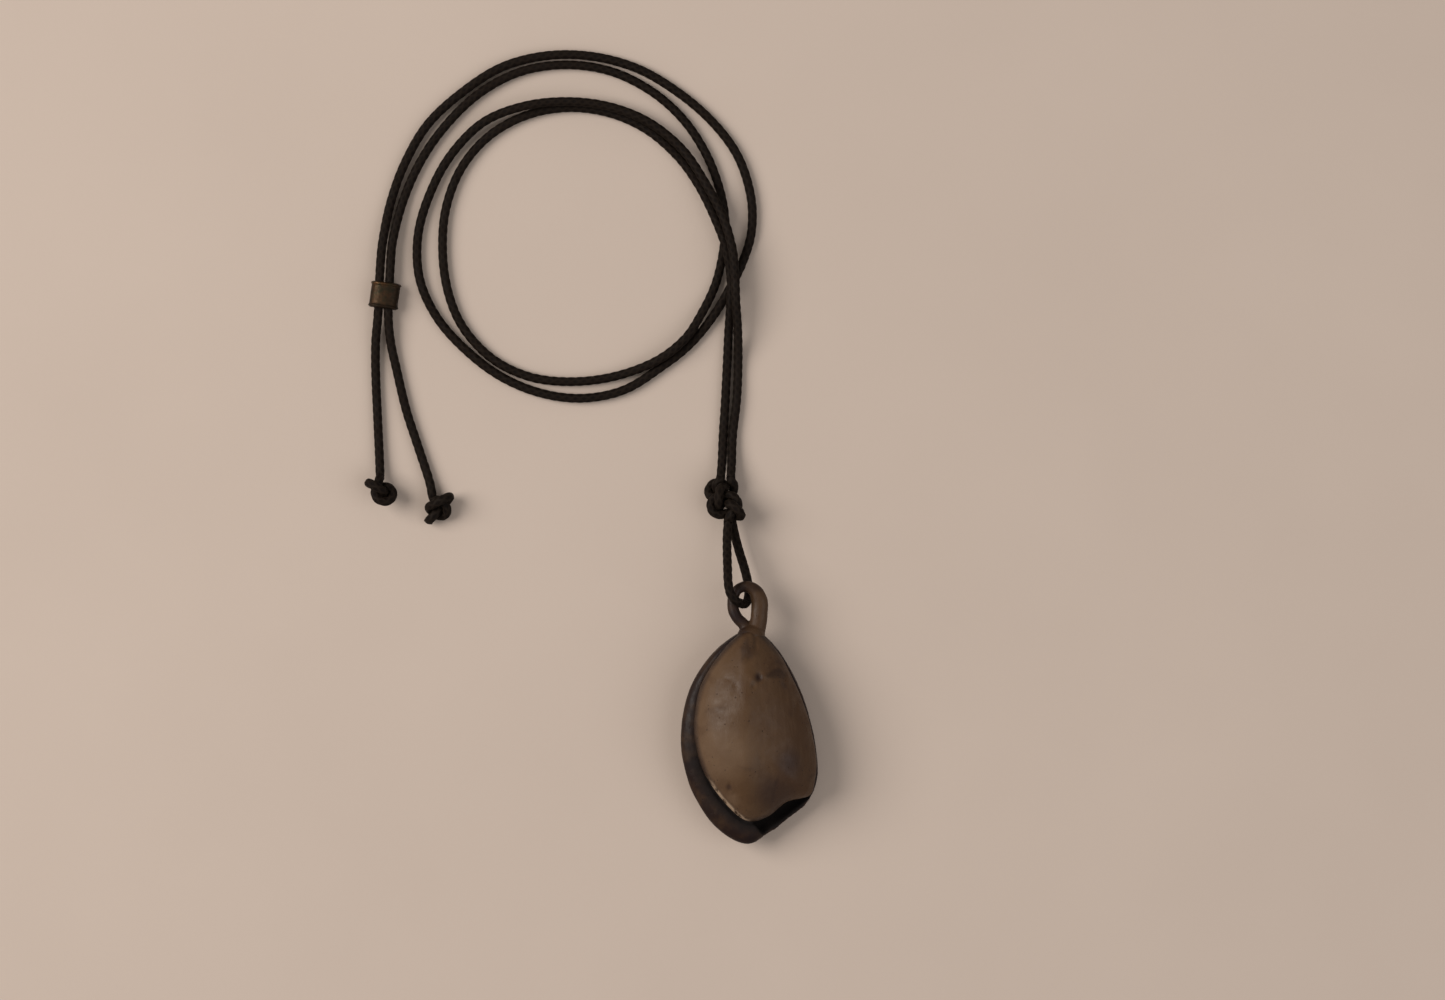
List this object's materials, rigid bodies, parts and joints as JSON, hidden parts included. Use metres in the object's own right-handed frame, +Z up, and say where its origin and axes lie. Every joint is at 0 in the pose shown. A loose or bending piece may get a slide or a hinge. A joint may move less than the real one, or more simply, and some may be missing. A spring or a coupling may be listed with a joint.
{
  "type": "ocarina",
  "caption": "Small hand-formed clay ocarina with a corner blow slot, finger holes in its back and a hanging ring, on a doubled neck cord with a knot and a sliding bead.",
  "frame": {"origin": "on the surface it lies on, under the middle of the clay body and ring in length and width", "axes": "+Y along the body towards its hanging ring, +Z up out of the front, +X to the right seen from the front"},
  "size_m": [0.098, 0.1719, 0.0179],
  "materials": {
    "clay_front": "burnished and smoke-fired brown",
    "clay_back": "burnished and smoke-fired, near black",
    "waxed_cord": "waxed cotton, satin",
    "bead_metal": "antique bronze, worn"
  },
  "bodies": {
    "necklace": {"cord_strand_a": "waxed_cord", "cord_strand_b": "waxed_cord", "main_knot": "waxed_cord", "end_knot_a": "waxed_cord", "end_knot_b": "waxed_cord"},
    "loop": {"cord_loop": "waxed_cord"},
    "whistle": {"back_shell": "clay_back", "front_shell": "clay_front", "windway_block": "clay_back", "hanging_ring": "clay_front"},
    "bead": {"slider_bead": "bead_metal"}
  },
  "joints": [
    {"name": "loop_swing", "type": "hinge", "parent": "necklace", "child": "loop", "pos_m": [-0.0045, 0.0412, 0.0042], "axis": [0, 0, 1], "range_deg": [-20, 20]},
    {"name": "whistle_tip", "type": "hinge", "parent": "loop", "child": "whistle", "pos_m": [-0.0016, 0.0244, 0.0088], "axis": [1, 0, 0], "range_deg": [-22, 0]},
    {"name": "bead_slide", "type": "slide", "parent": "necklace", "child": "bead", "axis": [0.0523, 0.9986, 0], "range_m": [-0.002, 0.008]}
  ]
}
